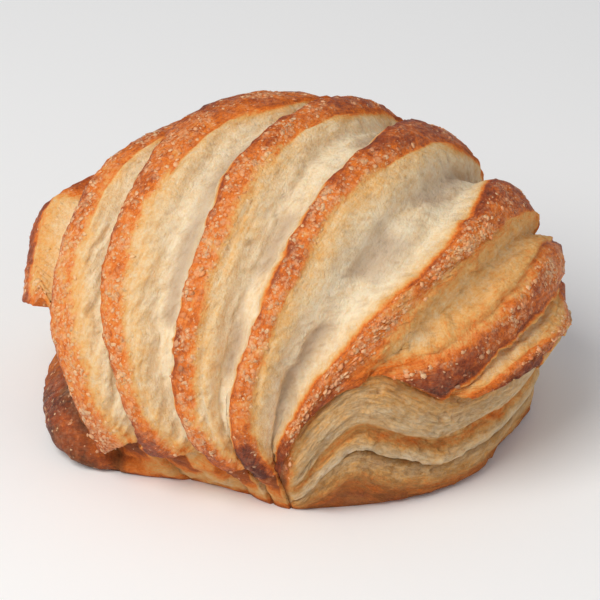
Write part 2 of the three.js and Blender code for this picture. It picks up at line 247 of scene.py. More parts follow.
# The studio, in metres
FLOOR_HALF_SIDE = 4.0
KEY_LAMP = {"size": 0.5, "direction": (-0.55, -0.55, 1.0), "distance": 0.75, "colour": (1.0, 0.97, 0.93)}
FILL_LAMP = {"size": 0.6, "direction": (0.9, -0.7, 0.6), "distance": 0.8, "colour": (1.0, 0.98, 0.96)}
LAMPS_FACE = (0, 0, 0.03)
SKY_COLOUR = (0.93, 0.96, 1.0, 1)


def ease(x):
    """0 up to 1 with level ends: 3x squared less 2x cubed."""
    x = np.clip(x, 0, 1)
    return x * x * (3 - 2 * x)


def quarter_wave(x):
    """The first quarter of a sine wave, a steep start and a level end."""
    return np.sin(np.pi / 2 * np.clip(x, 0, 1))


def bell(x):
    """A smooth hump at 0: e to the power of minus x squared."""
    return np.exp(-x * x)


def swell(angle, hump):
    """A bell round one angle of the plan: amount times the bell of the turn away over the spread."""
    at, spread, amount = hump
    away = (angle - np.radians(at) + np.pi) % (2 * np.pi) - np.pi
    return amount * bell(away / np.radians(spread))


def eased_profile(table, x):
    """A curve through the rows (place, value) of a table, easing from each value to the next."""
    place, value = table[:, 0], table[:, 1]
    low = np.clip(np.searchsorted(place, x, side="right") - 1, 0, len(place) - 2)
    share = ease((x - place[low]) / (place[low + 1] - place[low]))
    return value[low] + (value[low + 1] - value[low]) * share


def lattice_noise(points, cell, seed):
    """A smooth random field from -1 to 1: random values on a cubic lattice, eased from corner to corner.
    It repeats after the lattice's side."""
    side = 48
    table = np.random.default_rng(seed).uniform(-1, 1, (side, side, side))
    scaled = points / cell
    low = np.floor(scaled).astype(int)
    weight = ease(scaled - low)
    total = np.zeros(points.shape[:-1])
    for corner in np.ndindex(2, 2, 2):
        index = (low + corner) % side
        share = np.prod(np.where(corner, weight, 1 - weight), axis=-1)
        total += share * table[index[..., 0], index[..., 1], index[..., 2]]
    return total


def noise_at(coordinates, cell, seed):
    """Lattice noise at places given by three coordinates, each an array or a number."""
    return lattice_noise(np.stack(np.broadcast_arrays(*coordinates), axis=-1), cell, seed)


def on_dome(reach, angle):
    """Points of the plan disc on the smooth dome. The outline is a superellipse with swells. Above the
    widest line the side follows an ellipse to the top, below it the side draws in to the rim."""
    across = np.abs(np.cos(angle) / HALF_LENGTH) ** SQUARENESS
    along = np.abs(np.sin(angle) / HALF_DEPTH) ** SQUARENESS
    radius = (across + along) ** (-1 / SQUARENESS) * (1 + swell(angle, BACK_CORNER_CUT))
    rim = RIM_SCALE + sum(swell(angle, hump) for hump in RIM_SWELLS)
    down = np.clip((reach - WIDEST_REACH) / (1 - WIDEST_REACH), 0, None)
    lift = np.clip(1 - reach / WIDEST_REACH, 0, 1) * np.pi / 2
    is_low = reach > WIDEST_REACH
    out = np.where(is_low, 1 - (1 - rim) * down**2, np.cos(lift))
    rise = WIDEST_HEIGHT + (HEIGHT - WIDEST_HEIGHT) * np.sin(lift)
    height = np.where(is_low, WIDEST_HEIGHT * (1 - down), rise)
    return np.stack([out * radius * np.cos(angle), out * radius * np.sin(angle), height], axis=-1)


def outward(reach, angle):
    """The dome's outward direction: the cross product of two short steps along the surface."""
    step = 1e-4
    start = np.maximum(reach, 1e-3)
    down = on_dome(start + step, angle) - on_dome(start - step, angle)
    turn = on_dome(start, angle + step) - on_dome(start, angle - step)
    normal = np.cross(down, turn)
    return normal / (np.linalg.norm(normal, axis=-1, keepdims=True) + 1e-12)


def unevenness(p, q):
    """Slow rises and falls of baked dough, half a millimetre or so: waves across a point of the disc."""
    return 0.45 * np.sin(8 * p + 3) * np.cos(7 * q - 1) + 0.3 * np.sin(15 * p - 12 * q + 2)


def polar(angle, reach):
    """The point of the disc at an angle in degrees and a reach."""
    return reach * np.cos(np.radians(angle)), reach * np.sin(np.radians(angle))


def back_feet():
    """Where every rib edge comes down at the back: the angle and the reach step on from rib to rib."""
    last = len(RIB_EDGES) - 1
    rib = np.repeat(np.arange(last + 1), 2)[:, None]
    side = np.tile([0, 1], last + 1)[:, None]
    reach = np.minimum(BACK_REACH["most"], BACK_REACH["first"] + BACK_REACH["step"] * rib)
    step = BACK_FOOT["step"] + BACK_FOOT["shorten"] * rib
    angle = BACK_FOOT["first"] + step * rib + BACK_FOOT["crown"] * side
    return polar(angle, np.where(rib == last, BACK_REACH["last"], reach))


def rib_lines(t):
    """Every rib edge on the plan disc at rows t, as (edge, row, 2). The front half runs straight from its
    foot to its crest plus a bow, a sway near the foot and a turn near the crest, which are humps
    s(1-s)^3 and s^3(1-s) scaled to a height of 1. The back half runs on to its back foot plus a bow and
    an arc that keeps the direction at the crest. Noise along the edge makes it ragged."""
    edges = RIB_EDGES.reshape(-1, 8)[:, :, None]
    foot_angle, foot_reach, crest_p, crest_q, bow, sway, turn, back_bow = np.moveaxis(edges, 1, 0)
    foot_p, foot_q = polar(foot_angle, foot_reach)
    heel_p, heel_q = back_feet()
    to_one = 256 / 27
    s = np.clip(2 * t, 0, 1)[None]
    front_p = foot_p + (crest_p - foot_p) * s + bow * np.sin(np.pi * s)
    front_p = front_p + to_one * (sway * s * (1 - s) ** 3 - turn * s**3 * (1 - s))
    front_q = foot_q + (crest_q - foot_q) * s
    slope = (crest_p - foot_p - np.pi * bow + to_one * turn) / (crest_q - foot_q)
    arc = slope * (heel_q - crest_q) - (heel_p - crest_p)
    r = np.clip(2 * t - 1, 0, 1)[None]
    back_p = crest_p + (heel_p - crest_p) * r + arc * r * (1 - r) ** 3 + back_bow * np.sin(np.pi * r)
    back_q = crest_q + (heel_q - crest_q) * r
    is_front = (t < 0.5)[None]
    ribs = np.stack([np.where(is_front, front_p, back_p), np.where(is_front, front_q, back_q)], axis=-1)
    along_edge = (5.3 * np.arange(len(edges))[:, None], 110 * t[None], 0.5)
    ragged = 0.35 * noise_at(along_edge, 9, 11) + 0.22 * noise_at(along_edge, 2.2, 12)
    ribs[..., 0] += ragged / HALF_LENGTH * ease(np.minimum(t, 1 - t) / 0.03)
    left, right = (np.broadcast_to(polar(*end), (1, len(t), 2)) for end in (LEFT_END, RIGHT_END))
    return np.concatenate([left, ribs, right])


class Columns:
    """The columns across the ribs: the band that each lies in, its share of the band's width, and the rib
    or valley that the band is. A valley has the number of the rib at its left."""

    def __init__(self):
        band, share = [], []
        for index in range(LAST_BAND + 1):
            if index in (0, LAST_BAND):
                steps = END_COLUMNS
            else:
                steps = CROWN_COLUMNS if index % 2 else VALLEY_COLUMNS
            band.append(np.full(steps, index))
            share.append(np.arange(steps) / steps)
        self.band = np.append(np.concatenate(band), LAST_BAND)[:, None]
        self.share = np.append(np.concatenate(share), 1.0)[:, None]
        self.is_left_end = self.band == 0
        self.is_right_end = self.band == LAST_BAND
        self.is_crown = self.band % 2 == 1
        self.is_valley = ~(self.is_left_end | self.is_right_end | self.is_crown)
        self.rib = np.clip((self.band - 1) // 2, 0, len(RIB_EDGES) - 1)
        self.valley = np.clip(self.band // 2 - 1, 0, len(VALLEYS) - 1)
        self.is_left_face = self.is_valley & (self.valley < FIRST_OPEN_VALLEY)
        self.is_open_valley = self.is_valley & ~self.is_left_face
        self.from_sharp = np.where(SHARP_SIDE[self.rib] == 1, 1 - self.share, self.share)
        fade_from = RIB_FADE[self.rib, 0]
        self.faded = ease((self.from_sharp - fade_from) / (1 - fade_from))


def crown_lifts(t):
    """How far each crown stands over the dome, as (rib, row): eased from front to crest to back."""
    to_crest, behind = (ease((t - run["from"]) / run["over"])[None] for run in (LIFT_TO_CREST, LIFT_BEHIND))
    front, crest, heel = (RIB_LIFTS[:, part, None] for part in range(3))
    return front + (crest - front) * to_crest + (heel - crest) * behind


def valley_side(x, width):
    """From the rib (0) down to the floor of the valley (1): steep where it is narrow, and else eased."""
    return np.where(width < STEEP_BELOW, quarter_wave(x / width), ease(x / width))


def lid_relief(columns, t):
    """Height of the lid over the dome, as (column, row). Crowns stand over it by their lift and round off
    at both edges. Valleys sink by their depth, falling and rising over their shares of the width."""
    share = columns.share
    lifts = crown_lifts(t)
    rib = columns.rib[:, 0]
    lift, next_lift = lifts[rib], lifts[np.minimum(rib + 1, len(RIB_LIFTS) - 1)]
    left_drop, right_drop = (RIB_DROPS[columns.rib, side] for side in range(2))
    round_left = left_drop * (1 - quarter_wave(share / ROUNDING["left"]))
    round_right = right_drop * (1 - quarter_wave((1 - share) / ROUNDING["right"]))
    crown = lift - round_left - round_right
    depth, fall, rise = (VALLEYS[columns.valley, part] for part in range(3))
    start, end = lift - RIB_DROPS[columns.valley, 1], next_lift - RIB_DROPS[columns.valley + 1, 0]
    run_in = ease(t / VALLEY_RUN_IN) * ease((1 - t) / VALLEY_RUN_IN)
    full = VALLEY_AT_EDGE + (1 - VALLEY_AT_EDGE) * run_in[None]
    sunk = depth * full * np.minimum(valley_side(share, fall), valley_side(1 - share, rise))
    valley = start * (1 - share) + end * share - sunk
    left = (lift - RIB_DROPS[0, 0]) * share - END_SINK["left"] * (1 - quarter_wave(share))
    right = lift * (1 - share) - RIB_DROPS[-1, 1] - END_SINK["right"] * quarter_wave(share)
    relief = np.where(columns.is_crown, crown, valley)
    return np.where(columns.is_left_end, left, np.where(columns.is_right_end, right, relief))


def foot_relief(columns):
    """Across the bunched feet: each foot is a pillow that starts at a crease under its crown's left edge
    and slides under the next foot at its right."""
    crown = -FOOT_SINK["left"] * (1 - quarter_wave(columns.share / FOOT_SINK["left_share"]))
    to_right = (columns.share - FOOT_SINK["right_from"]) / (1 - FOOT_SINK["right_from"])
    valley = -FOOT_SINK["right"] * ease(to_right)
    return np.where(columns.is_crown, crown, np.where(columns.is_valley, valley, -FOOT_SINK["ends"]))


def layer_power(angle):
    """The power that turns the share of the wall's height into a layer: 1 plus the swells of the step."""
    return 1 + sum(swell(angle, step) for step in LAYER_STEPS)


def tallness(lid_reach):
    """1 where the side wall stands tall under the lid, 0 where the lid comes down almost to the ground."""
    return ease((TALL_WALL["reach"] - lid_reach) / TALL_WALL["range"])


def wall_relief(up, angle, lid_reach, edge_relief, foot):
    """Height of the side wall over the dome, as (column, row), up from the ground (0) to the lid (1): the
    feet of the ribs where it is low, the layers where it is tall, less the notch and plus the lobe."""
    tall = tallness(lid_reach)
    near_lid = ease(1 - (1 - up) / FEET["near_lid"])
    pillow = foot * (FEET["at_ground"] + (1 - FEET["at_ground"]) * up) - FEET["drawn_in"] * up
    feet = edge_relief * near_lid + pillow * (1 - near_lid)
    lean_in = RIGHT_INSET["ground"] * ease(up / RIGHT_INSET["ground_over"]) + RIGHT_INSET["lid"] * up
    inset = lean_in * swell(angle, RIGHT_INSET["swell"])
    notch = ease((up - LEFT_NOTCH["from"]) / LEFT_NOTCH["over"]) * swell(angle, LEFT_NOTCH["swell"])
    under_lid = 1 - ease((up - LEFT_LOBE["from"]) / LEFT_LOBE["over"])
    lobe = ease(up / LEFT_LOBE["full"]) * under_lid * swell(angle, LEFT_LOBE["swell"])
    layer = up ** layer_power(angle)
    past_step = ease((np.degrees(angle) - HOLLOW["from"]) / HOLLOW["over"])
    hollow = HOLLOW["depth"] * bell((layer - HOLLOW["layer"]) / HOLLOW["spread"]) * past_step
    layers = eased_profile(WALL_PROFILE, layer) - hollow - inset
    return (1 - tall) * feet + tall * layers - notch + lobe


def place(reach, angle, relief):
    """Points over the dome by the relief plus its slow unevenness, never below the ground."""
    lift = relief + unevenness(reach * np.cos(angle), reach * np.sin(angle)) * ease((1 - reach) / LEVEL_RIM)
    points = on_dome(reach, angle) + outward(reach, angle) * lift[..., None]
    points[..., 2] = np.maximum(points[..., 2], 0)
    return points


def wall_grid(edge, edge_relief, foot, rows):
    """The wall below one end of every column, from the ground up, without the lid's own edge. The reach
    runs evenly from the rim to the lid, and low feet lean over."""
    lid_reach = np.hypot(edge[:, 0], edge[:, 1])[:, None]
    angle = np.arctan2(edge[:, 1], edge[:, 0])[:, None]
    layer = (np.arange(rows) / rows)[None]
    up = layer ** (1 / layer_power(angle))
    tall = tallness(lid_reach)
    lean = np.radians(swell(angle, FEET_LEAN)) * (1 - tall)
    turned = angle + lean * (1 - up)
    points = place(1 - (1 - lid_reach) * up, turned, wall_relief(up, turned, lid_reach, edge_relief, foot))
    points[:, 0, 2] = 0
    return SimpleNamespace(points=points, up=up, layer=layer, angle=turned, tall=tall)


def grid_directions(points):
    """Outward direction at every grid point, from the steps between neighbours both ways."""
    across = np.gradient(points, axis=0)
    along = np.roll(points, -1, axis=1) - np.roll(points, 1, axis=1)
    normal = np.cross(across, along)
    length = np.linalg.norm(normal, axis=-1, keepdims=True)
    return normal / np.maximum(length, 1e-9)


def flow_coordinates(points):
    """Millimetres across the columns and along the rows, added up from step to step over the grid."""
    across = np.linalg.norm(np.diff(points, axis=0, prepend=points[:1]), axis=-1)
    along = np.linalg.norm(np.diff(points, axis=1, prepend=points[:, :1]), axis=-1)
    return np.cumsum(across, axis=0), np.cumsum(along, axis=1)


def lay_pastry():
    """The whole surface as one grid of closed rings, up the front wall, over the lid, down the back wall
    and under the base, with what the finish needs to know at each point."""
    columns = Columns()
    t = np.arange(LID_ROWS + 1) / LID_ROWS
    lines = rib_lines(t)
    band, share = columns.band[:, 0], columns.share[..., None]
    flat = lines[band] * (1 - share) + lines[band + 1] * share
    for cut in FOOT_BOWS:
        fading = np.clip(1 - t / cut["run"], 0, 1) ** 2
        bow = (columns.band == cut["band"]) * np.sin(np.pi * columns.share ** cut["skew"]) * fading
        flat = flat + bow[..., None] * [cut["p"], cut["q"]]
    relief = lid_relief(columns, t)
    lid = place(np.hypot(flat[..., 0], flat[..., 1]), np.arctan2(flat[..., 1], flat[..., 0]), relief)
    foot = foot_relief(columns)
    front = wall_grid(flat[:, 0], relief[:, :1], foot, FRONT_WALL_ROWS)
    back = wall_grid(flat[:, -1], relief[:, -1:], foot, BACK_WALL_ROWS)
    across_base = ((np.arange(UNDERSIDE_ROWS) + 1) / (UNDERSIDE_ROWS + 1))[None, :, None]
    base = back.points[:, :1] * (1 - across_base) + front.points[:, :1] * across_base
    row_counts = (FRONT_WALL_ROWS, LID_ROWS + 1, BACK_WALL_ROWS, UNDERSIDE_ROWS)

    def ring(*values):
        """One value over the rings from its four parts, each an array or a number, walls upward."""
        front_part, lid_part, back_part, base_part = (
            np.broadcast_to(value, (len(band), rows)) for value, rows in zip(values, row_counts))
        return np.concatenate([front_part, lid_part, back_part[:, ::-1], base_part], axis=1).astype(float)

    laid = SimpleNamespace(
        points=np.concatenate([front.points, lid, back.points[:, ::-1], base], axis=1),
        t=ring(0, t, 1, 0),
        up=ring(front.up, 1, back.up, 0),
        layer=ring(front.layer, 1, back.layer, 0),
        tall=ring(front.tall, 0, back.tall, 0),
        angle=ring(front.angle, np.arctan2(lid[..., 1], lid[..., 0]), back.angle, 0),
        on_lid=ring(0, 1, 0, 0),
        on_wall=ring(1, 0, 1, 0),
    )
    laid.on_tall_wall = laid.on_wall * laid.tall
    laid.on_feet = laid.on_wall * (1 - laid.tall)
    laid.under_notch = laid.on_wall * (1 - ease((laid.up - 0.8) / 0.2))
    laid.on_lobe = swell(laid.angle, LOBE_SKIN) * laid.under_notch
    laid.leaf = laid.layer * LAYER_STACK
    laid.across, laid.along = flow_coordinates(laid.points)
    return columns, laid


def lid_noise(columns, laid, sizes, seed):
    """Noise drawn out along the ribs, its own in every band."""
    across, along, shift = sizes
    return noise_at((laid.across / across, laid.along / along, columns.band * shift), 1, seed)


def wall_noise(laid, sizes, seed, start=0):
    """Noise drawn out along the leaves of the side wall."""
    across, up = sizes
    return noise_at((laid.across / across, laid.leaf / up, start), 1, seed)


def tear_sheets(columns, laid):
    """Drawn out noise made ragged by finer noise, over 0 on the upper sheet and under 0 where it is torn
    off: long sheets in the valleys and on the side wall, and small flakes in the open valleys."""
    points, on_lid = laid.points, laid.on_lid
    sheets = np.where(laid.on_tall_wall > 0.5, wall_noise(laid, WALL_SHEETS, 40, 5),
                      lid_noise(columns, laid, TORN_SHEETS, 40))
    torn = sheets + 0.25 * lattice_noise(points, 1.1, 41) - 0.12 - 2 * columns.is_left_face * on_lid
    flakes = lid_noise(columns, laid, FLAKES, 43) + 0.45 * lattice_noise(points, 1.2, 44)
    return torn, np.where(columns.is_open_valley & (on_lid > 0), flakes, -1)


def crown_browning(columns, t, patches):
    """How brown the ribs are: most at the feet, at the crest, behind it and at the sharp side, and fading
    over the other side in front of the crest."""
    middle, at_foot, at_crest, foot_run = (RIB_BAKE[columns.rib, part] for part in range(4))
    along_rib = at_foot * bell(np.minimum(t, 1 - t) / foot_run) + at_crest * bell((t - 0.5) / 0.1)
    behind = 0.1 * ease((t - 0.5) / 0.08)
    shoulder = 1 - 0.8 * ease((t - 0.38) / 0.1)
    across_rib = 0.1 * bell(columns.from_sharp / 0.15) - RIB_FADE[columns.rib, 1] * columns.faded * shoulder
    return middle + along_rib + behind + across_rib + patches


def rim_of(rim, share, t):
    """1 in a valley's rim behind the crest, eased to 0 in front of it and over the rest of the width."""
    return ease((t - rim["from"]) / rim["over"]) * (1 - ease((share - rim["wide"]) / rim["fade"]))


def valley_browning(columns, t, patches, blotches):
    """How brown the valleys are: a bell of browning beside each rib and at the feet, and a rim behind the
    crest as brown as a rib. It goes on from where the crown's soft side ends."""
    share, is_left_face = columns.share, columns.is_left_face
    left_tint, right_tint = (VALLEY_TINT[columns.valley, side] for side in range(2))
    warmth = VALLEY_WARMTH[columns.valley]
    middle = 0.07 + 0.5 * warmth
    crown_end = RIB_BAKE[columns.valley, 0] - RIB_FADE[columns.valley, 1]
    from_left = np.where(SHARP_SIDE[columns.valley] == 1, 0.3 * (1 - warmth), crown_end - middle)
    beside_left = from_left * bell(share / left_tint)
    beside_right = 0.28 * (1 - warmth) * bell((1 - share) / right_tint)
    at_feet = 0.25 * bell(np.minimum(t, 1 - t) / 0.05)
    valley = middle + beside_left + beside_right + at_feet + blotches
    rim = np.where(is_left_face, rim_of(LEFT_FACE_RIM, share, t), rim_of(CREST_RIM, share, t))
    return valley + (0.7 + 0.14 * is_left_face + patches - valley) * rim


def wall_browning(columns, laid, patches):
    """How brown the side wall is: by layer where it is tall, by crown and height on the feet, and deeply
    on and round the lobe."""
    up, tall = laid.up, laid.tall
    tall_wall = eased_profile(WALL_BAKE, laid.layer)
    tall_wall = tall_wall + 0.08 * lattice_noise(laid.points * [0.4, 0.4, 1.6], 2.2, 25)
    on_crown = 0.4 * columns.is_crown * ease((up - 0.2) / 0.7)
    feet = 0.38 + on_crown + 0.34 * bell(up / 0.14) + 2 * patches
    at_end = 0.2 * bell((up - 0.6) / 0.35) * swell(laid.angle, LEFT_SIDE)
    lobe = 0.74 + at_end + 0.3 * (1 - ease(up / 0.5)) + 1.3 * patches
    round_lobe = swell(laid.angle, LOBE_BROWNING) * laid.under_notch
    return (tall * tall_wall + (1 - tall) * feet) * (1 - round_lobe) + lobe * round_lobe


def sugar_cover(columns, laid, toast):
    """How much sugar lies there: most on the crowns, less on their soft sides, on dark crust and on the
    lobe, as noise."""
    from_sharp, on_lobe = columns.from_sharp, laid.on_lobe
    on_crown = ease(from_sharp / 0.06) * ease((1 - from_sharp) / 0.2) * (1 - 0.6 * columns.faded)
    on_ribs = on_crown * columns.is_crown + 0.5 * columns.is_left_face * (1 - columns.share)
    reached = laid.on_lid + laid.on_feet * ease((laid.up - 0.55) / 0.45)
    sugar = on_ribs * reached * (0.55 + 0.45 * lattice_noise(laid.points, 3.4, 26))
    sugar = sugar * (1 - 0.8 * ease((toast - 0.64) / 0.2))
    return np.clip(sugar * (1 - 0.7 * on_lobe) + 0.18 * on_lobe, 0, 1)


def grey_wisps(columns, laid):
    """Translucent dough along the deepest line of the middle valleys, broken up by noise along them."""
    deepest = np.where(columns.valley == LAST_WISP_VALLEY, 0.55, 0.66)
    places = (columns.share * 5, laid.t * 26, columns.band * 3.1)
    wisp = bell((columns.share - deepest) / 0.2) * ease(0.56 + 1.7 * noise_at(places, 1.7, 27))
    return wisp * columns.is_open_valley * (columns.valley <= LAST_WISP_VALLEY) * laid.on_lid


def wall_dullness_and_shade(laid):
    """How dull the side wall and feet are, as painted shade on both and the olive tone of the base sheet:
    less at the right, and most near the ground on the base sheet.
    """
    layer = laid.layer
    base_sheet = (1 - ease((layer - 0.27) / 0.06)) * (0.58 - 0.34 * ease((layer - 0.1) / 0.12))
    # Painted shade over the side wall and feet, with the base sheet's olive tone added near the ground
    dull_and_shade = 0.42 - 0.12 * swell(laid.angle, RIGHT_SIDE) + base_sheet * laid.tall
    return laid.on_wall * np.clip(dull_and_shade, 0, 1) * (1 - laid.on_lobe)


def finish_masks(columns, laid):
    """What the finish reads at every grid point: browning, sugar, grey wisps, dullness with painted shade on
    the side wall, painted shade in seams and creases, torn edges, and where the crowns and the layered side
    wall are."""
    points, t, layer, on_lid, on_lobe = laid.points, laid.t, laid.layer, laid.on_lid, laid.on_lobe
    patches = 0.09 * lattice_noise(points, 7, 21) + 0.09 * lattice_noise(points, 2.6, 22)
    blotches = 0.05 * lattice_noise(points, 4, 23) + 0.03 * lattice_noise(points, 1.5, 24)
    crown = crown_browning(columns, t, patches)
    valley = valley_browning(columns, t, patches, blotches)
    lid = np.where(columns.is_crown, crown, np.where(columns.is_valley, valley, 0.3 + blotches))
    wall = wall_browning(columns, laid, patches)
    toast = np.where(on_lid > 0, lid, np.where(laid.on_wall > 0, wall, 0.7))

    # Painted shade in the creases between the feet, put into the seam and tear colours below
    at_left, at_right = bell(columns.share / 0.1), bell((1 - columns.share) / 0.1)
    crease = columns.is_crown * at_left + columns.is_valley * at_right
    crease_shade_on_feet = crease * laid.on_feet * (1 - on_lobe)
    # Painted shade: a dark line along the seam groove, and darkness under the lip
    shade_under_lip = 0.34 * ease((layer - 0.25) / 0.06) * (layer < 0.313)
    seam = laid.on_tall_wall * np.clip(bell((layer - 0.311) / 0.015) + shade_under_lip, 0, 1)
    can_tear = laid.on_tall_wall + 0.3 * columns.is_valley * on_lid
    tear_and_shade = bell(laid.torn / 0.07) * can_tear + 0.55 * bell((laid.flaked - 0.03) / 0.07)
    return {
        "toast": toast,
        "sugar": sugar_cover(columns, laid, toast),
        "wisp": grey_wisps(columns, laid),
        # Painted shade on the side wall and feet, mixed with the olive of the base sheet
        "dull_and_shade": wall_dullness_and_shade(laid),
        # Painted shade in the seam and in the creases of the feet
        "seam": seam + 0.5 * crease_shade_on_feet,
        # Torn edges, and painted shade in the creases of the feet
        "tear_and_shade": tear_and_shade + 1.4 * crease_shade_on_feet,
        "wall": laid.on_tall_wall * (1 - on_lobe),
        "crown": columns.is_crown * on_lid + on_lobe,
    }


def fine_relief(columns, laid, masks):
    """Small relief over the whole surface in millimetres: granular crowns, flaky valleys with long torn
    hollows, and thin leaves one over another on the side wall."""
    points, on_lid = laid.points, laid.on_lid
    rough = lattice_noise(points, 1.9, 31)
    grains = lattice_noise(points, 0.9, 32)
    crown = 0.22 * rough + 0.26 * grains
    crumb = 0.18 * rough + 0.16 * grains
    sheet = ease(laid.torn / 0.12)
    strands = 0.32 * lid_noise(columns, laid, STRANDS, 33) * columns.is_open_valley
    valley = crumb + strands - 0.9 * masks["wisp"] + TORN_DEPTH["lid"] * sheet
    valley = valley + TORN_DEPTH["flake"] * ease(laid.flaked / 0.1)
    leaves = np.abs(np.sin(np.pi * (laid.leaf / 1.5 + 0.7 * wall_noise(laid, LEAF_DRIFT, 34))))
    broken = 0.5 + 0.5 * wall_noise(laid, LEAF_BREAKS, 35)
    wall = 0.3 * (leaves - 0.6) * broken + 1.3 * crumb + TORN_DEPTH["wall"] * sheet
    small = np.where(masks["crown"] > 0.5, crown, np.where(on_lid > 0, valley, 1.6 * crumb))
    small = small * (1 - masks["wall"]) + wall * masks["wall"]
    column = np.arange(len(columns.band))[:, None]
    at_ends = ease(np.minimum(column, column[::-1]) / 4)
    above_ground = ease(points[..., 2] / 1.2)
    return small * at_ends * above_ground * (on_lid + laid.on_wall)


def merged_surface(points, values):
    """The grid as vertices and triangles. Points that fall on the same place become one vertex, and
    triangles that lose a side there are left out."""
    column_count, row_count = points.shape[:2]
    flat = points.reshape(-1, 3)
    keys_per_mm = 1000
    keys = np.round(flat * keys_per_mm).astype(np.int64)
    _, first, vertex_of = np.unique(keys, axis=0, return_index=True, return_inverse=True)
    vertex_of = vertex_of.reshape(column_count, row_count)
    here, beside = vertex_of[:-1], vertex_of[1:]
    next_here, next_beside = np.roll(here, -1, axis=1), np.roll(beside, -1, axis=1)
    halves = ((here, beside, next_beside), (here, next_beside, next_here))
    triangles = np.concatenate([np.stack(half, axis=-1).reshape(-1, 3) for half in halves])
    a, b, c = triangles.T
    triangles = triangles[(a != b) & (b != c) & (c != a)]
    return flat[first], triangles, {name: value.reshape(-1)[first] for name, value in values.items()}


def new_mesh(name, points, faces, values):
    """A mesh object at the origin from points in millimetres, with the values kept at its vertices."""
    mesh = bpy.data.meshes.new(name)
    mesh.from_pydata((points * MM).tolist(), [], faces.tolist())
    for label, value in values.items():
        kept = mesh.attributes.new(label, "FLOAT", "POINT")
        kept.data.foreach_set("value", value.astype(np.float32))
    mesh.update()
    piece = bpy.data.objects.new(name, mesh)
    bpy.context.scene.collection.objects.link(piece)
    return piece


def build_dough():
    """Points, triangles and finish values of the pastry, centred like the solid."""
    columns, laid = lay_pastry()
    laid.torn, laid.flaked = tear_sheets(columns, laid)
    masks = finish_masks(columns, laid)
    small = fine_relief(columns, laid, masks)
    points = laid.points + grid_directions(laid.points) * small[..., None]
    points[..., 2] = np.maximum(points[..., 2], 0)
    low, high = points.reshape(-1, 3).min(axis=0), points.reshape(-1, 3).max(axis=0)
    points[..., :2] -= ((low + high) / 2)[:2]
    return merged_surface(points, masks | {"across": laid.across, "along": laid.along, "leaf": laid.leaf})


def add_node(tree, kind, inputs=None, **settings):
    """A new node with its settings, and each input linked to a socket or set to a value."""
    node = tree.nodes.new(kind)
    for name, value in settings.items():
        setattr(node, name, value)
    for name, value in (inputs or {}).items():
        if isinstance(value, bpy.types.NodeSocket):
            tree.links.new(value, node.inputs[name])
        else:
            node.inputs[name].default_value = value
    return node


def calculate(tree, operation, *terms, clamp=False):
    """One Math node on up to three terms, each a socket or a number."""
    inputs = dict(enumerate(terms))
    return add_node(tree, "ShaderNodeMath", inputs, operation=operation, use_clamp=clamp).outputs[0]


def times(tree, first, second):
    """One value times another."""
    return calculate(tree, "MULTIPLY", first, second)


def plus(tree, total, *terms):
    """The sum of all the terms."""
    for term in terms:
        total = calculate(tree, "ADD", total, term)
    return total


def from_middle(tree, value):
    """A noise value less its middle, a half."""
    return calculate(tree, "SUBTRACT", value, 0.5)


def ranged(tree, value, low=0.0, high=1.0, new_low=0.0, new_high=1.0):
    """A value taken from one range to another along a straight line, and held at its ends."""
    inputs = {"Value": value, "From Min": low, "From Max": high, "To Min": new_low, "To Max": new_high}
    return add_node(tree, "ShaderNodeMapRange", inputs).outputs["Result"]


def blended(tree, factor, first, second):
    """Two colours mixed by a factor, 0 for the first."""
    inputs = {0: factor, 6: first, 7: second}
    return add_node(tree, "ShaderNodeMix", inputs, data_type="RGBA", clamp_factor=True).outputs[2]


def attribute(tree, name):
    """A value kept at the vertices."""
    return add_node(tree, "ShaderNodeAttribute", attribute_name=name).outputs["Fac"]


def noise(tree, vector, scale, detail=2.0, roughness=0.5):
    """Noise from 0 to 1 at so many cells to a unit of the vector."""
    inputs = {"Vector": vector, "Scale": scale, "Detail": detail, "Roughness": roughness}
    return add_node(tree, "ShaderNodeTexNoise", inputs).outputs[0]


def drawn_out_noise(tree, first, second, start, detail, roughness):
    """Noise over two values of the surface, each given with its cells to a unit, from a fixed start."""
    scaled = {index: times(tree, value, scale) for index, (value, scale) in enumerate((first, second))}
    place_in_noise = add_node(tree, "ShaderNodeCombineXYZ", scaled | {2: start}).outputs[0]
    return noise(tree, place_in_noise, 1.0, detail, roughness)


def with_alpha(colour):
    """An opaque colour of four parts."""
    return (*colour, 1.0)


def linear(red, green, blue):
    """A screen colour of 0 to 255 as linear light, by the sRGB curve."""
    shares = [value / 255 for value in (red, green, blue)]
    return tuple(s / 12.92 if s <= 0.04045 else ((s + 0.055) / 1.055) ** 2.4 for s in shares)


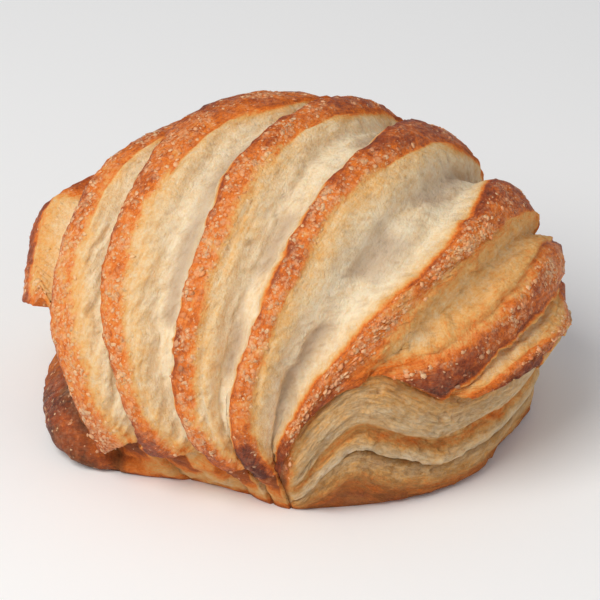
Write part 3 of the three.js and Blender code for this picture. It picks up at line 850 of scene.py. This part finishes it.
def baking_group(colours):
    """Node group: the colour of baked dough, from a ramp by how toasted it is, then mixed in turn with
    the colours of wisps, dull dough with painted shade, painted shade in seams, and tears with painted
    shade."""
    tree = bpy.data.node_groups.new(BAKING_GROUP, "ShaderNodeTree")
    # The dull, seam and tear colours carry painted shade: the shaded side wall and feet, the seam groove,
    # the creases of the feet and thin grooves
    layers = {"Wisp": (0.75, colours.wisp), "Dull": (0.68, colours.dull_and_shade),
              "Seam": (0.8, colours.seam), "Tear": (0.4, colours.tear_and_shade)}
    for name in ("Toast", *layers):
        tree.interface.new_socket(name=name, in_out="INPUT", socket_type="NodeSocketFloat")
    tree.interface.new_socket(name="Color", in_out="OUTPUT", socket_type="NodeSocketColor")
    given = add_node(tree, "NodeGroupInput")
    ramp = add_node(tree, "ShaderNodeValToRGB", {"Fac": given.outputs["Toast"]})
    stops = (colours.cream, colours.butter, colours.amber, colours.orange, colours.brown, colours.dark)
    elements = ramp.color_ramp.elements
    while len(elements) < len(stops):
        elements.new(0.5)
    for index, (element, colour) in enumerate(zip(elements, stops)):
        element.position = index / (len(stops) - 1)
        element.color = with_alpha(colour)
    colour = ramp.outputs[0]
    for name, (most, over) in layers.items():
        colour = blended(tree, times(tree, given.outputs[name], most), colour, with_alpha(over))
    add_node(tree, "NodeGroupOutput", {"Color": colour})


def baked_colour(tree, **inputs):
    """The colour of baked dough in a material, from the node group."""
    group = bpy.data.node_groups[BAKING_GROUP]
    return add_node(tree, "ShaderNodeGroup", inputs, node_tree=group).outputs[0]


def new_material(name):
    """An empty node material, its tree and its Principled shader."""
    material = bpy.data.materials.new(name)
    material.use_nodes = True
    tree = material.node_tree
    return material, tree, tree.nodes["Principled BSDF"]


def let_light_through(shader, share, radius, depth):
    """Sets how much light passes under the surface, and how deep in millimetres."""
    shader.inputs["Subsurface Weight"].default_value = share
    shader.inputs["Subsurface Radius"].default_value = radius
    shader.inputs["Subsurface Scale"].default_value = depth * MM


def crust_material(colours, look):
    """Baked dough: the group's colour broken up by patches, strands and leaves, with painted shade in thin
    grooves of the side wall, under sugar haze in the middle of small cells. The bump is the sum of the same
    patterns."""
    material, tree, shader = new_material("Baked crust")
    on_piece = add_node(tree, "ShaderNodeTexCoord").outputs["Object"]
    toast, sugar, wisp, dull_and_shade, seam, tear_and_shade = (
        attribute(tree, name) for name in ("toast", "sugar", "wisp", "dull_and_shade", "seam", "tear_and_shade"))
    wall, crown, across, along, leaf = (
        attribute(tree, name) for name in ("wall", "crown", "across", "along", "leaf"))

    strands = drawn_out_noise(tree, (across, 1.5), (along, 0.34), 0.0, 5.0, 0.72)
    leaves = drawn_out_noise(tree, (across, 0.32), (leaf, 1.2), 5.0, 5.0, 0.75)
    fibres = add_node(tree, "ShaderNodeMix", {0: wall, 2: strands, 3: leaves}).outputs[0]
    # Thin grooves between the wall's leaves: sunk in the bump and darkened with painted shade through the
    # tear colour
    lines = drawn_out_noise(tree, (across, 0.2), (leaf, 0.9), 9.0, 6.0, 0.7)
    from_line = calculate(tree, "ABSOLUTE", from_middle(tree, lines))
    thin_grooves_and_shade = times(tree, ranged(tree, from_line, low=0.03, high=0.0), times(tree, wall, 0.5))
    mottle = noise(tree, on_piece, 700, 3.0, 0.6)
    speck = noise(tree, on_piece, 2200, 2.0, 0.6)

    mottle_tint = ranged(tree, crown, new_low=look.valley_mottle, new_high=look.crown_mottle)
    baked = toast
    for value, amount in ((mottle, mottle_tint), (fibres, look.fibre_tint)):
        baked = plus(tree, baked, times(tree, from_middle(tree, value), amount))
    baked = calculate(tree, "ADD", baked, times(tree, from_middle(tree, speck), 0.27), clamp=True)
    # Painted shade on the side wall and feet with the base sheet's olive, made uneven by the fibres; then
    # torn edges with painted shade in the thin grooves
    unevenly_dull_and_shade = times(tree, dull_and_shade, ranged(tree, fibres, 0.35, 0.65, 1.3, 0.4))
    torn = plus(tree, tear_and_shade, thin_grooves_and_shade)
    dough = baked_colour(tree, Toast=baked, Wisp=wisp, Dull=unevenly_dull_and_shade, Seam=seam, Tear=torn)

    shift = add_node(tree, "ShaderNodeTexNoise", {"Vector": on_piece, "Scale": 1100.0, "Detail": 2.0})
    shift_inputs = {0: shift.outputs["Color"], 1: (2 * MM,) * 3, 2: on_piece}
    shifted = add_node(tree, "ShaderNodeVectorMath", shift_inputs, operation="MULTIPLY_ADD")
    crystals = add_node(tree, "ShaderNodeTexVoronoi", {"Vector": shifted.outputs[0], "Scale": 850.0})
    near_crystal = ranged(tree, crystals.outputs["Distance"], low=0.55, high=0.2)
    haze = times(tree, times(tree, near_crystal, sugar), look.sugar_haze)
    colour = blended(tree, haze, dough, with_alpha(colours.sugar))
    tree.links.new(colour, shader.inputs["Base Color"])

    creases = calculate(tree, "ABSOLUTE", from_middle(tree, noise(tree, on_piece, 520, 5.0, 0.62)))
    relief = ((mottle, 0.5), (creases, 2.4), (speck, 0.36), (fibres, 1.05), (haze, 0.5),
              (thin_grooves_and_shade, -0.8))
    height = plus(tree, *(times(tree, value, amount) for value, amount in relief))
    bump = add_node(tree, "ShaderNodeBump", {"Height": height, "Strength": 0.7, "Distance": look.bump_depth})
    tree.links.new(bump.outputs[0], shader.inputs["Normal"])
    tree.links.new(ranged(tree, crown, new_low=0.78, new_high=0.48), shader.inputs["Roughness"])
    shader.inputs["Specular IOR Level"].default_value = 0.35
    let_light_through(shader, look.glow, (1.0, 0.55, 0.25), 2.2)
    return material


def sugar_material(colours):
    """Half-melted sugar: near white, tinted by the crust it sits on."""
    material, tree, shader = new_material("Baked sugar")
    crust = baked_colour(tree, Toast=attribute(tree, "toast"))
    colour = blended(tree, attribute(tree, "clear"), with_alpha(colours.sugar), crust)
    tree.links.new(colour, shader.inputs["Base Color"])
    shader.inputs["Roughness"].default_value = 0.5
    let_light_through(shader, 0.4, (1.0, 0.7, 0.5), 0.6)
    return material


def icosahedron():
    """The twelve corners, one unit from the middle, and the twenty faces, all turned outward. Before they
    are brought to one unit, corners on a shared edge are 2 apart."""
    golden = (1 + 5**0.5) / 2
    corners = np.array([roll for a in (-1, 1) for b in (-golden, golden)
                        for roll in ((0, a, b), (a, b, 0), (b, 0, a))], dtype=float)
    gaps = np.linalg.norm(corners[:, None] - corners[None], axis=-1)
    near = gaps < 2.1
    faces = [(a, b, c) for a in range(12) for b in range(a + 1, 12) for c in range(b + 1, 12)
             if near[a, b] and near[b, c] and near[a, c]]
    outward_faces = []
    for a, b, c in faces:
        turned_in = np.dot(np.cross(corners[b] - corners[a], corners[c] - corners[a]), corners[a]) < 0
        outward_faces.append((a, c, b) if turned_in else (a, b, c))
    return corners / np.linalg.norm(corners[0]), np.array(outward_faces)


def grain_points(centres, normals, sizes, rng):
    """Corners of one half-melted grain per centre: an icosahedron with each corner moved in or out at
    random, stretched and turned at random, then flattened along the surface's direction."""
    corners, _ = icosahedron()
    count = len(centres)
    lumps = corners[None] * rng.uniform(*GRAIN["corners"], (count, 12, 1))
    lumps = lumps * rng.uniform(*GRAIN["stretch"], (count, 1, 3))
    quaternion = rng.normal(size=(count, 4))
    w, x, y, z = (quaternion / np.linalg.norm(quaternion, axis=1, keepdims=True)).T
    turn = np.array([
        [1 - 2 * (y * y + z * z), 2 * (x * y - z * w), 2 * (x * z + y * w)],
        [2 * (x * y + z * w), 1 - 2 * (x * x + z * z), 2 * (y * z - x * w)],
        [2 * (x * z - y * w), 2 * (y * z + x * w), 1 - 2 * (x * x + y * y)],
    ]).transpose(2, 0, 1)
    turned = np.einsum("nij,nkj->nki", turn, lumps) * sizes[:, None, None] / 2
    height = np.einsum("nki,ni->nk", turned, normals)
    flattening = rng.uniform(*GRAIN["flattened"], (count, 1))
    flat = turned - (height * flattening)[..., None] * normals[:, None]
    return flat + (centres - normals * (GRAIN["sunk"] * sizes)[:, None])[:, None]


def scatter(points, triangles, weight, count, rng):
    """Random places on the triangles, as often as their area times the weight at their corners: the
    place, the outward direction and the triangle."""
    a, b, c = (points[triangles[:, corner]] for corner in range(3))
    normal = np.cross(b - a, c - a)
    area = np.linalg.norm(normal, axis=1)
    chance = area * weight[triangles].mean(axis=1)
    chosen = rng.choice(len(triangles), count, p=chance / chance.sum())
    first, second = rng.random(count), rng.random(count)
    folded = first + second > 1
    first, second = np.where(folded, 1 - first, first), np.where(folded, 1 - second, second)
    spot = a[chosen] + (b - a)[chosen] * first[:, None] + (c - a)[chosen] * second[:, None]
    return spot, (normal / np.maximum(area, 1e-12)[:, None])[chosen], chosen


def build_grains(points, triangles, sugar, toast, settings):
    """Points, triangles and finish values of the sugar grains, scattered by the crust's sugar. Small ones
    are the most common, and none reaches the ground."""
    rng = np.random.default_rng(settings.seed)
    spot, normal, chosen = scatter(points, triangles, sugar**1.5, settings.count, rng)
    smallest, largest = settings.smallest / MM, settings.largest / MM
    size = smallest + (largest - smallest) * rng.random(len(spot)) ** 2
    corners = grain_points(spot, normal, size, rng)
    corners[..., 2] = np.maximum(corners[..., 2], 0.05)
    _, grain_faces = icosahedron()
    per_grain = corners.shape[1]
    faces = grain_faces[None] + per_grain * np.arange(len(spot))[:, None, None]
    values = {"toast": toast[triangles[chosen, 0]], "clear": rng.uniform(*GRAIN_TINT, len(spot))}
    values = {name: np.repeat(value, per_grain) for name, value in values.items()}
    return corners.reshape(-1, 3), faces.reshape(-1, 3), values


def dress(piece, material, replaces=None):
    """Gives a piece its material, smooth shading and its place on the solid."""
    piece.data.materials.append(material)
    piece.data.polygons.foreach_set("use_smooth", np.full(len(piece.data.polygons), True))
    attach(piece, BODY)
    if replaces:
        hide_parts(replaces)


def colour_setting(name, description, red, green, blue):
    """A setting for a colour, given from 0 to 255."""
    return FloatVectorProperty(name=name, description=description, subtype="COLOR", size=3, min=0, max=1,
                               default=linear(red, green, blue))


def amount_setting(name, description, default, **kind):
    """A setting for a number that isn't negative."""
    return FloatProperty(name=name, description=description, default=default, min=0, **kind)


# Kinds of amount: a share from 0 to 1, and a length in metres
A_SHARE = {"max": 1, "subtype": "FACTOR"}
A_LENGTH = {"precision": 5, "unit": "LENGTH"}


class PastryColours(bpy.types.PropertyGroup):
    """Colours of the crust from pale to dark, and of what lies over them"""

    cream: colour_setting("Cream", "Palest dough, on the valley flanks", 249, 231, 198)
    butter: colour_setting("Butter", "Dough that has just begun to colour", 242, 208, 158)
    amber: colour_setting("Amber", "The yellow shoulder beside a rib", 238, 178, 102)
    orange: colour_setting("Orange", "The baked crown of a rib", 234, 121, 32)
    brown: colour_setting("Brown", "Well browned crust", 164, 72, 24)
    dark: colour_setting("Dark", "The darkest browning, at the feet", 92, 38, 20)
    wisp: colour_setting("Wisp", "Greyish translucent dough in the deepest line", 192, 166, 140)
    # Painted shade on the side wall and feet, mixed with the olive of the base sheet
    dull_and_shade: colour_setting("Dull", "Dough on the shaded side wall and base sheet", 147, 94, 42)
    # Torn edges, and painted shade in the creases of the feet and the thin grooves of the wall
    tear_and_shade: colour_setting("Tear", "Edges of torn dough sheets", 160, 106, 56)
    # Painted shade: the dark seam groove, under the lip, and the creases of the feet
    seam: colour_setting("Seam", "The dark gap over the base sheet", 74, 50, 26)
    sugar: colour_setting("Sugar", "Half-melted sugar", 249, 200, 152)


class PastryLook(bpy.types.PropertyGroup):
    """How strong the patterns of the crust are"""

    crown_mottle: amount_setting("Crown mottle", "Patchiness of the browned ribs", 0.42, **A_SHARE)
    valley_mottle: amount_setting("Valley mottle", "Patchiness of the pale dough", 0.34, **A_SHARE)
    fibre_tint: amount_setting("Fibre tint", "Colour of the strands and leaves", 0.42, **A_SHARE)
    sugar_haze: amount_setting("Sugar haze", "Sugar too fine for grains", 0.76, **A_SHARE)
    glow: amount_setting("Glow", "Light that passes through the dough", 0.12, **A_SHARE)
    bump_depth: amount_setting("Bump depth", "Depth of the finest relief", 0.45 * MM, **A_LENGTH)


class PastrySugar(bpy.types.PropertyGroup):
    """Number and size of the sugar grains"""

    count: IntProperty(name="Grains", description="Number of sugar grains", default=9000, min=0, max=9500)
    smallest: amount_setting("Smallest", "Size of the smallest grain", 0.35 * MM, **A_LENGTH)
    largest: amount_setting("Largest", "Size of the largest grain", 1.45 * MM, **A_LENGTH)
    seed: IntProperty(name="Seed", description="Start of the random draws", default=7, min=0)


class PastryStage(bpy.types.PropertyGroup):
    """The floor and the lights"""

    floor_colour: colour_setting("Floor", "Pale floor", 251, 251, 251)
    key_power: amount_setting("Key power", "Light from the upper left", 4.2, unit="POWER")
    fill_power: amount_setting("Fill power", "Light from the right", 0.5, unit="POWER")
    sky_strength: amount_setting("Sky strength", "Light from all round", 0.4)


class PASTRY_OT_dough(bpy.types.Operator):
    """Build the pastry itself, in place of the plain solid"""

    bl_idname = "pastry.dough"
    bl_label = "Pastry"

    def execute(self, context):
        scene = context.scene
        baking_group(scene.pastry_colours)
        points, triangles, values = build_dough()
        piece = new_mesh("pastry_body", points, triangles, values)
        dress(piece, crust_material(scene.pastry_colours, scene.pastry_look), replaces=SOLID)
        return {"FINISHED"}


class PASTRY_OT_sugar(bpy.types.Operator):
    """Scatter half-melted sugar grains over the ribs"""

    bl_idname = "pastry.sugar"
    bl_label = "Sugar grains"

    def execute(self, context):
        mesh = bpy.data.objects["pastry_body"].data
        points = np.empty(len(mesh.vertices) * 3)
        mesh.vertices.foreach_get("co", points)
        triangles = np.empty(len(mesh.polygons) * 3, dtype=np.int64)
        mesh.polygons.foreach_get("vertices", triangles)
        sugar, toast = np.empty((2, len(mesh.vertices)))
        mesh.attributes["sugar"].data.foreach_get("value", sugar)
        mesh.attributes["toast"].data.foreach_get("value", toast)
        settings = context.scene.pastry_sugar
        grains = build_grains(points.reshape(-1, 3) / MM, triangles.reshape(-1, 3), sugar, toast, settings)
        piece = new_mesh("sugar_grains", *grains)
        dress(piece, sugar_material(context.scene.pastry_colours))
        return {"FINISHED"}


def area_light(name, power, size, direction, distance, colour):
    """A square lamp that far from the pastry in a direction, facing it."""
    lamp = bpy.data.lights.new(name, "AREA")
    lamp.energy = power
    lamp.size = size
    lamp.color = colour
    holder = bpy.data.objects.new(name, lamp)
    way = Vector(direction).normalized()
    holder.location = way * distance + Vector(LAMPS_FACE)
    holder.rotation_euler = way.to_track_quat("Z", "Y").to_euler()
    bpy.context.scene.collection.objects.link(holder)


def studio_camera():
    """A camera whose middle line passes the point that falls on the middle of the picture."""
    back = Vector((0, -math.cos(CAMERA_ELEVATION), math.sin(CAMERA_ELEVATION)))
    up = Vector((0, math.sin(CAMERA_ELEVATION), math.cos(CAMERA_ELEVATION)))
    middle = IMAGE_SIDE / 2
    right = Vector((1, 0, 0))
    aim = (right * (middle - ORIGIN_PIXEL[0]) + up * (ORIGIN_PIXEL[1] - middle)) / PIXELS_PER_MM
    data = bpy.data.cameras.new("Camera")
    data.sensor_width = SENSOR_WIDTH
    data.lens = SENSOR_WIDTH * PIXELS_PER_MM * CAMERA_DISTANCE / IMAGE_SIDE
    data.clip_start, data.clip_end = 0.01, 20
    camera = bpy.data.objects.new("Camera", data)
    rotation = Matrix((right, up, back)).transposed()
    camera.matrix_world = Matrix.Translation((aim + back * CAMERA_DISTANCE) * MM) @ rotation.to_4x4()
    bpy.context.scene.collection.objects.link(camera)
    bpy.context.scene.camera = camera


class PASTRY_OT_stage(bpy.types.Operator):
    """Lay the pale floor and set up the soft lights and the camera"""

    bl_idname = "pastry.stage"
    bl_label = "Studio"

    def execute(self, context):
        scene = context.scene
        settings = scene.pastry_stage
        half = FLOOR_HALF_SIDE / MM
        corners = np.array([(-half, -half, 0), (half, -half, 0), (half, half, 0), (-half, half, 0)])
        floor = new_mesh("floor", corners, np.array([(0, 1, 2, 3)]), {})
        material, tree, shader = new_material("Pale floor")
        on_floor = add_node(tree, "ShaderNodeTexCoord").outputs["Object"]
        unevenly = times(tree, noise(tree, on_floor, 3.0), 0.04)
        tint = blended(tree, unevenly, with_alpha(settings.floor_colour), with_alpha((0.8, 0.8, 0.8)))
        tree.links.new(tint, shader.inputs["Base Color"])
        shader.inputs["Roughness"].default_value = 0.9
        floor.data.materials.append(material)
        world = bpy.data.worlds.new("Studio")
        world.use_nodes = True
        background = world.node_tree.nodes["Background"]
        background.inputs["Color"].default_value = SKY_COLOUR
        background.inputs["Strength"].default_value = settings.sky_strength
        scene.world = world
        area_light("Key", settings.key_power, **KEY_LAMP)
        area_light("Fill", settings.fill_power, **FILL_LAMP)
        studio_camera()
        scene.view_settings.view_transform = "Standard"
        return {"FINISHED"}


class PASTRY_PT_panel(bpy.types.Panel):
    """Pastry pieces and their settings"""

    bl_label = "Pastry shell"
    bl_idname = "PASTRY_PT_panel"
    bl_space_type = "VIEW_3D"
    bl_region_type = "UI"
    bl_category = "Pastry"

    def draw(self, context):
        scene = context.scene
        for operator in OPERATORS:
            self.layout.operator(operator.bl_idname)
        for settings in (scene.pastry_colours, scene.pastry_look, scene.pastry_sugar, scene.pastry_stage):
            for name in settings.__annotations__:
                self.layout.prop(settings, name)


SETTINGS = {
    "pastry_colours": PastryColours,
    "pastry_look": PastryLook,
    "pastry_sugar": PastrySugar,
    "pastry_stage": PastryStage,
}
OPERATORS = (PASTRY_OT_dough, PASTRY_OT_sugar, PASTRY_OT_stage)
CLASSES = (*SETTINGS.values(), *OPERATORS, PASTRY_PT_panel)


def register():
    """Adds the classes, and their settings to the scene."""
    for cls in CLASSES:
        bpy.utils.register_class(cls)
    for name, group in SETTINGS.items():
        setattr(bpy.types.Scene, name, PointerProperty(type=group))


def unregister():
    """Takes the settings and the classes away again."""
    for name in SETTINGS:
        delattr(bpy.types.Scene, name)
    for cls in reversed(CLASSES):
        bpy.utils.unregister_class(cls)


def main():
    """Builds the pastry, its sugar and the stage."""
    register()
    bpy.ops.pastry.dough()
    bpy.ops.pastry.sugar()
    bpy.ops.pastry.stage()


if __name__ == "__main__":
    main()
